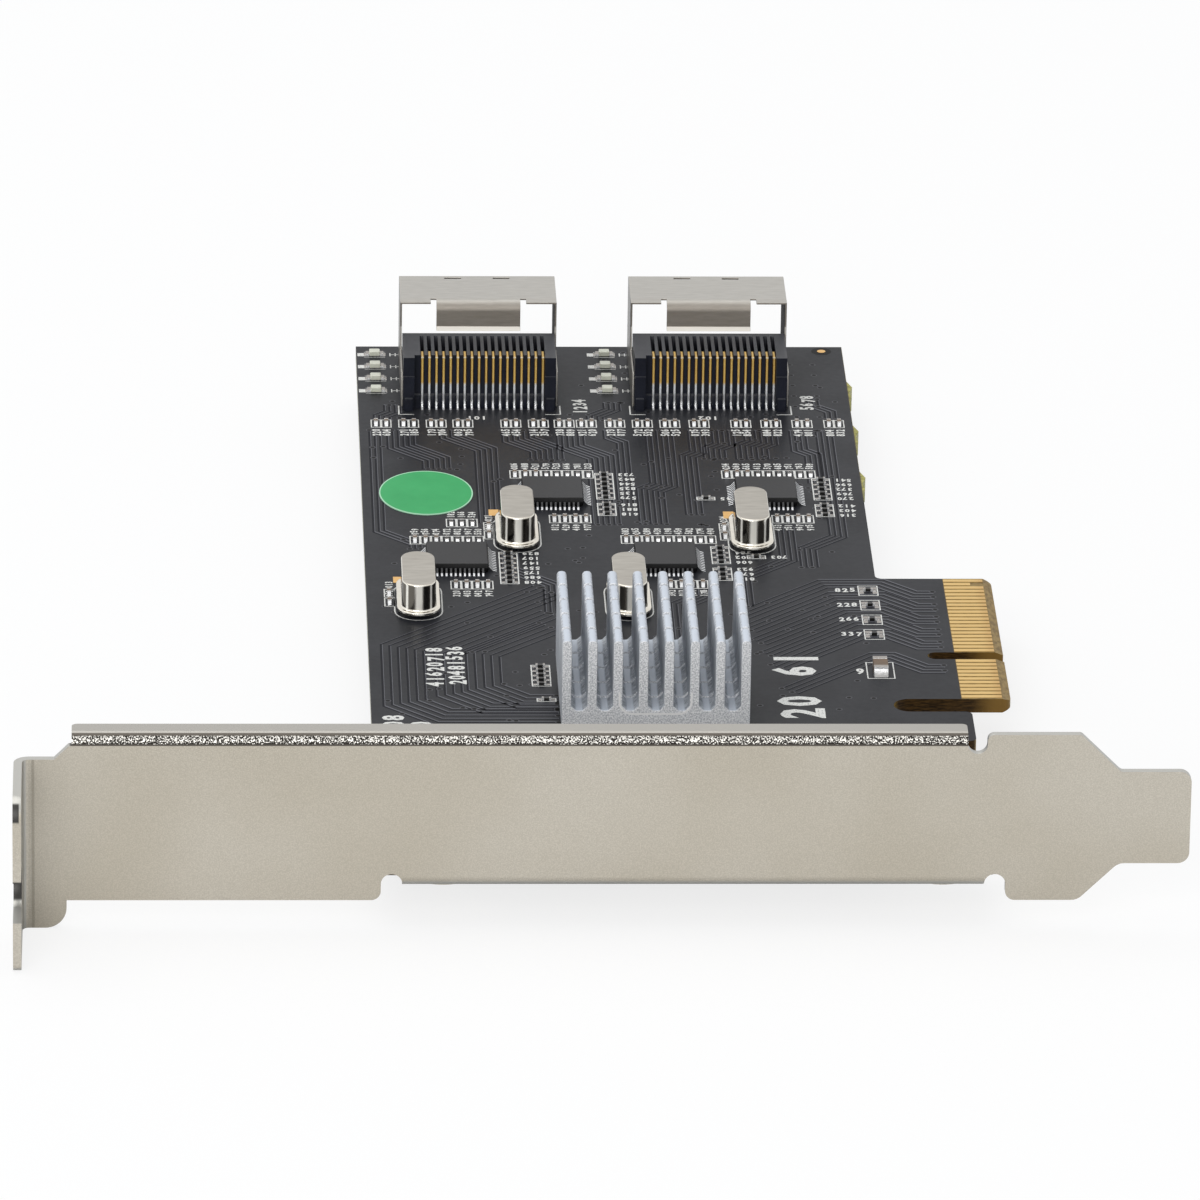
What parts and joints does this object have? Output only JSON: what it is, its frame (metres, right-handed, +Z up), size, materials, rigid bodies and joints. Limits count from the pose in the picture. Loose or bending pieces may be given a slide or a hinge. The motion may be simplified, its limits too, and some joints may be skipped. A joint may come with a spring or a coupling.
{
  "type": "storage controller card",
  "caption": "Full-height expansion card with a folded steel bracket, gold edge connector, finned heat sink and shielded right-angle drive connectors at its far end.",
  "frame": {"origin": "middle of the edge connector's key notch, at the tip of its tongue, half way through the board", "axes": "+X into the expansion slot, +Y from the bracket to the card's free end, +Z up from the component side"},
  "size_m": [0.1209, 0.1618, 0.0215],
  "materials": {
    "board_mask": "matte charcoal solder mask over glass laminate",
    "gold_plate": "satin hard gold plating",
    "bracket_steel": "satin nickel-plated steel, faintly speckled",
    "screw_steel": "bright zinc-plated steel",
    "housing_plastic": "near-black moulded plastic",
    "shell_steel": "satin nickel-plated sheet",
    "contact_gold": "gold-flashed copper alloy with tinned feet",
    "chip_epoxy": "matte black moulding compound",
    "lead_tin": "bright tin plating",
    "crystal_steel": "drawn nickel-plated can with a satin top",
    "base_plastic": "black moulded insulator",
    "sink_aluminium": "clear-anodised, bead-blasted ends",
    "pad_gum": "grey adhesive pad",
    "ceramic": "brown ceramic with tinned ends",
    "resistor_glaze": "black glaze with tinned ends",
    "lamp_resin": "pale cream resin",
    "sticker_vinyl": "green vinyl, left bare"
  },
  "bodies": {
    "root": {"bracket": "bracket_steel", "bracket_screws": "screw_steel", "circuit_board": "board_mask", "connector_a_housing": "housing_plastic", "connector_a_lower_contacts": "contact_gold", "connector_a_shell": "shell_steel", "connector_a_upper_contacts": "contact_gold", "connector_b_housing": "housing_plastic", "connector_b_lower_contacts": "contact_gold", "connector_b_shell": "shell_steel", "connector_b_upper_contacts": "contact_gold", "controller_a_body": "chip_epoxy", "controller_a_leads": "lead_tin", "controller_b_body": "chip_epoxy", "controller_b_leads": "lead_tin", "controller_c_body": "chip_epoxy", "controller_c_leads": "lead_tin", "controller_d_body": "chip_epoxy", "controller_d_leads": "lead_tin", "coupling_capacitors": "ceramic", "crystal_bases": "base_plastic", "crystal_cans": "crystal_steel", "decoupling_capacitors": "ceramic", "edge_contacts_lower": "gold_plate", "edge_contacts_upper": "gold_plate", "heat_sink": "sink_aluminium", "inspection_sticker": "sticker_vinyl", "reservoir_capacitor": "ceramic", "resistors": "resistor_glaze", "status_lamps": "lamp_resin", "switch_chip": "chip_epoxy", "thermal_pad": "pad_gum"}
  },
  "joints": []
}
